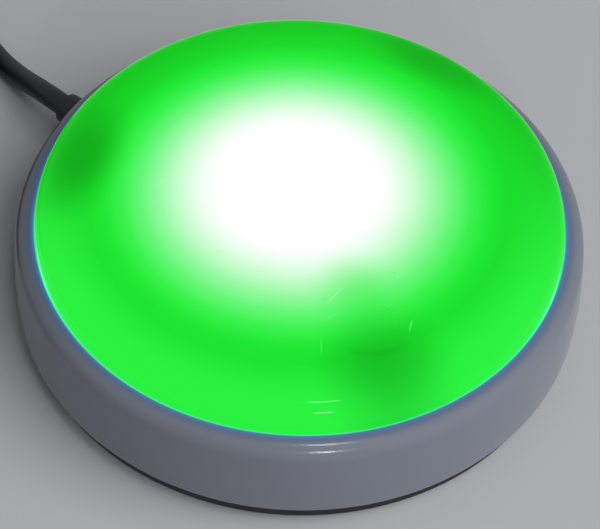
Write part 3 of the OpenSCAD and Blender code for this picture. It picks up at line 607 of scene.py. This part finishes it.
def lit_acrylic():
    """Clear acrylic with a frosted inside, lit from below: its glow is painted, white over the light source
    and deep green towards the rim, brighter at the front. Its polished outside still shows the lamps."""
    made = bpy.data.materials.new("lit_frosted_acrylic")
    made.use_nodes = True
    tree = made.node_tree
    shader = tree.nodes["Principled BSDF"]
    place = add_node(tree, "TexCoord").outputs["Object"]
    flat = add_node(tree, "VectorMath", {0: place, 1: (1 / MM, 1 / MM, 0)}, operation="MULTIPLY")
    flat = flat.outputs["Vector"]

    def distance_from(spot):
        """How far from this place, in millimetres and seen from above."""
        gap = add_node(tree, "VectorMath", {0: flat, 1: (spot[0], spot[1], 0)}, operation="DISTANCE")
        return gap.outputs["Value"]

    def eased(value, low, high, start=0.0, stop=1.0):
        """A soft change from start to stop while the value goes from low to high."""
        made = add_node(tree, "MapRange", {"Value": value, "From Min": low, "From Max": high, "To Min": start,
                                           "To Max": stop}, interpolation_type="SMOOTHSTEP")
        return made.outputs["Result"]

    def mixed(factor, under, over):
        """One tone laid over another."""
        made = add_node(tree, "Mix", {"Factor": factor, 6: under, 7: over}, data_type="RGBA")
        return made.outputs[2]

    def oval(spot, turn, half_width, half_length):
        """0 in the middle of an oval patch and 1 on its edge."""
        inside = add_node(tree, "Mapping", {"Vector": flat, "Location": (spot[0], spot[1], 0),
                                            "Rotation": (0, 0, math.radians(turn)),
                                            "Scale": (half_width, half_length, 1)}, vector_type="TEXTURE")
        gap = add_node(tree, "VectorMath", {0: inside.outputs["Vector"]}, operation="LENGTH")
        return gap.outputs["Value"]

    reach = GLOW[-1][0]
    share = add_node(tree, "MapRange", {"Value": distance_from(GLOW_CENTRE), "From Min": 0,
                                        "From Max": reach})
    ramp = add_node(tree, "ValToRGB", {"Fac": share.outputs["Result"]})
    ramp.color_ramp.elements[0].color = linear(GLOW[0][1])
    ramp.color_ramp.elements[1].color = linear(GLOW[-1][1])
    for radius, colour in GLOW[1:-1]:
        ramp.color_ramp.elements.new(radius / reach).color = linear(colour)
    along = add_node(tree, "SeparateXYZ", {"Vector": flat})
    back = eased(along.outputs["Y"], *BACK_FADE)
    rim_tone = mixed(back, linear(RIM_FRONT), linear(RIM_BACK))
    rim_share = eased(distance_from((0, 0)), *RIM_FADE)
    glow = mixed(rim_share, ramp.outputs["Color"], rim_tone)
    # Painted shadows of the posts and springs, laid over the glow
    for spot, turn, half_width, half_length, depth, tone in SHADOWS:
        shade = eased(oval(spot, turn, half_width, half_length), 0.1, 1.0, depth, 0.0)
        glow = mixed(shade, glow, linear(tone))
    # Painted shade: the front collar's lower edge as a faint dark arc in the glow
    collar = add_node(tree, "Math", {0: distance_from(COLLAR_CENTRE), 1: COLLAR_ARC}, operation="SUBTRACT")
    collar = add_node(tree, "Math", {0: collar.outputs["Value"]}, operation="ABSOLUTE")
    line = eased(collar.outputs["Value"], 0.1, 0.9, COLLAR_SHARE, 0.0)
    near = eased(oval(COLLAR_SPOT, 0, COLLAR_SPOT_R, COLLAR_SPOT_R), 0.4, 1, 1, 0)
    faded = add_node(tree, "Math", {0: line, 1: near}, operation="MULTIPLY")
    glow = mixed(faded.outputs["Value"], glow, linear(SHADE))
    # Small lighter and darker strokes laid into the glow's colour on the top
    for spot, turn, length, width, tone in GLOW_STROKES:
        mark = eased(oval(spot, turn, length / 2, width / 2), 0.4, 1.8, GLOW_STROKE_SHARE, 0.0)
        glow = mixed(mark, glow, linear(tone))
    height = add_node(tree, "SeparateXYZ", {"Vector": place}).outputs["Z"]
    # Painted highlight: a thin pale line low on the cap's side
    glow = mixed(eased(height, EDGE_LOW * MM, EDGE_HIGH * MM, 0.8, 0.0), glow, linear(EDGE_HIGHLIGHT_TONE))
    tree.links.new(glow, shader.inputs["Emission Color"])
    shader.inputs["Emission Strength"].default_value = 1
    shader.inputs["Base Color"].default_value = linear("#06280a")
    shader.inputs["Roughness"].default_value = 0.07
    shader.inputs["IOR"].default_value = 1.49
    shader.inputs["Specular IOR Level"].default_value = 0.09
    return made


cap.data.materials.append(lit_acrylic())
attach(cap, "cap")
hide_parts("lens_cap")

# Bottom cover and foot: the black ABS floor that closes the housing, with a fine spark-eroded grain, and the
# black rubber ring in its groove on which the button stands.
dress(moulded("grained_black_abs", "#101114", 0.55, 0.25, 0.02), "bottom_cover")
dress(moulded("moulded_black_rubber", "#101113", 0.72, 0.4, 0.03, ior=1.52), "foot_ring")

# Board and what it carries: a white glass-epoxy board, with the light source in the middle, the three push
# switches in their spring cups, and the controller with its small parts.
dress(moulded("white_solder_mask", "#e9ece8", 0.4, 0.6, 0.01), "circuit_board")
dress(moulded("moulded_cream_nylon", "#e9e6da", 0.5, 0.5, 0.01),
      "spring_cup_a", "spring_cup_b", "spring_cup_c", "board_header", "lead_connector", "cord_clamp")
dress(moulded("moulded_black_nylon", "#232427", 0.5, 0.4, 0.01),
      "switch_body_a", "switch_body_b", "switch_body_c", "switch_plunger_a", "switch_plunger_b",
      "switch_plunger_c", "controller_chip", "chip_resistors")
dress(moulded("white_ceramic_package", "#f2f1ea", 0.4, 0.4, 0.005), "led_package")
dress(moulded("clear_epoxy_lens", "#dfffe4", 0.1, 0.6, 0.002), "led_dome")
dress(moulded("drawn_aluminium", "#c3c6c9", 0.35, 0.5, 0.004, metallic=1.0),
      "crystal_can", "electrolytic_capacitor")
dress(moulded("fired_tan_ceramic", "#b08a5c", 0.5, 0.3, 0.005), "ceramic_capacitors")
dress(moulded("zinc_plated_steel", "#b4b7bb", 0.3, 0.4, 0.004, metallic=1.0),
      "clamp_screws", "board_screws", "cover_screws")
for tint, colour in (("red", "#b3262a"), ("white", "#e6e6e2"), ("green", "#2d8f45"), ("black", "#1a1b1d")):
    dress(moulded(tint + "_wire_pvc", colour, 0.4, 0.4, 0.005), "lead_wire_" + tint)

# Return springs: three compression springs wound from 0.9 mm spring steel wire, with a closed turn at each
# end. Each stands in its cup round a switch and holds the cap up under the lip.
WIRE_D = 0.9
SPRING_D = 9.6
SPRING_LOW = 12.2
SPRING_TURNS = 6.5
SPRING_STEPS = 24
SPRING_GAP = 0.02


def spring_line(centre):
    """The wire's middle line: a closed turn, the open turns and a closed turn."""
    low, high = SPRING_LOW + WIRE_D / 2 + SPRING_GAP, SEAT_Z - WIRE_D / 2 - SPRING_GAP
    open_turns = SPRING_TURNS - 2
    pitch = (high - low - 2 * WIRE_D) / open_turns
    line = []
    for i in range(round(SPRING_TURNS * SPRING_STEPS) + 1):
        turn = i / SPRING_STEPS
        height = low + WIRE_D * (min(turn, 1) + max(0, turn - SPRING_TURNS + 1))
        height += pitch * max(0, min(turn - 1, open_turns))
        line.append(Vector((centre[0] + SPRING_D / 2 * math.cos(math.tau * turn),
                            centre[1] + SPRING_D / 2 * math.sin(math.tau * turn), height)) * MM)
    return line


spring_steel = moulded("drawn_spring_steel", "#b9bcc0", 0.28, 0.2, 0.004, metallic=1.0)
for letter, spot in zip("abc", spots(POST_TURN, POST_PLACE)):
    spring = round_line("coil_spring_" + letter, spring_line(spot), WIRE_D * MM)
    spring.data.resolution_u = 2
    alone(spring)
    bpy.ops.object.convert(target="MESH")
    spring = bpy.context.object
    spring.data.materials.clear()
    spring.data.materials.append(spring_steel)
    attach(spring, "base")
    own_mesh(spring)
    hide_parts("return_spring_" + letter)

# Floor and light: a plain pale floor, a soft sky of light all round and a soft lamp above on the right, which
# leaves the ring's left side darker. Two narrow lamps in front draw the strokes on the cap and on the lip.
FLOOR_SIZE = 8
FLOOR_TONE = "#b4b5b8"
SKY = 0.15
# Each lamp's place, width, height and power, and whether polished surfaces show it
LAMPS = [
    ("soft_lamp", (0.98, -0.62, 1.0), 1.7, 1.7, 31.0, False),
    ("strip_high", (0.108, -0.29, 0.90), 0.1, 0.04, 0.55, True),
    ("strip_low", (0.16, -0.80, 0.44), 0.085, 0.02, 0.7, True),
]


def pale_floor():
    """A painted table top: plain, matt and pale."""
    return moulded("pale_painted_board", FLOOR_TONE, 0.5, 2.0, 0.004, shade=0.01)


alone()
bpy.ops.mesh.primitive_plane_add(size=FLOOR_SIZE)
floor = bpy.context.object
floor.name = "floor"
floor.data.materials.append(pale_floor())

world = bpy.data.worlds.new("soft_sky")
world.use_nodes = True
bpy.context.scene.world = world
sky = world.node_tree
shown = sky.nodes["Background"]
shown.inputs["Color"].default_value = linear("#a8aaae")
lighting = add_node(sky, "Background", {"Color": linear("#f6f8ff"), "Strength": SKY})
rays = add_node(sky, "LightPath")
seen = add_node(sky, "Math", {0: rays.outputs["Is Camera Ray"], 1: rays.outputs["Is Glossy Ray"]},
                operation="MAXIMUM")
seen = add_node(sky, "Math", {0: seen.outputs["Value"], 1: rays.outputs["Is Transmission Ray"]},
                operation="MAXIMUM")
chosen = add_node(sky, "MixShader", {0: seen.outputs["Value"], 1: lighting.outputs["Background"],
                                     2: shown.outputs["Background"]})
sky.links.new(chosen.outputs["Shader"], sky.nodes["World Output"].inputs["Surface"])

for name, place, width, height, power, mirrored in LAMPS:
    lamp = bpy.data.objects.new(name, bpy.data.lights.new(name, "AREA"))
    lamp.data.shape = "RECTANGLE"
    lamp.data.size = width
    lamp.data.size_y = height
    lamp.data.energy = power
    lamp.location = place
    lamp.rotation_euler = (-Vector(place)).to_track_quat("-Z", "Y").to_euler()
    lamp.visible_camera = False
    lamp.visible_glossy = mirrored
    bpy.context.scene.collection.objects.link(lamp)

alone()
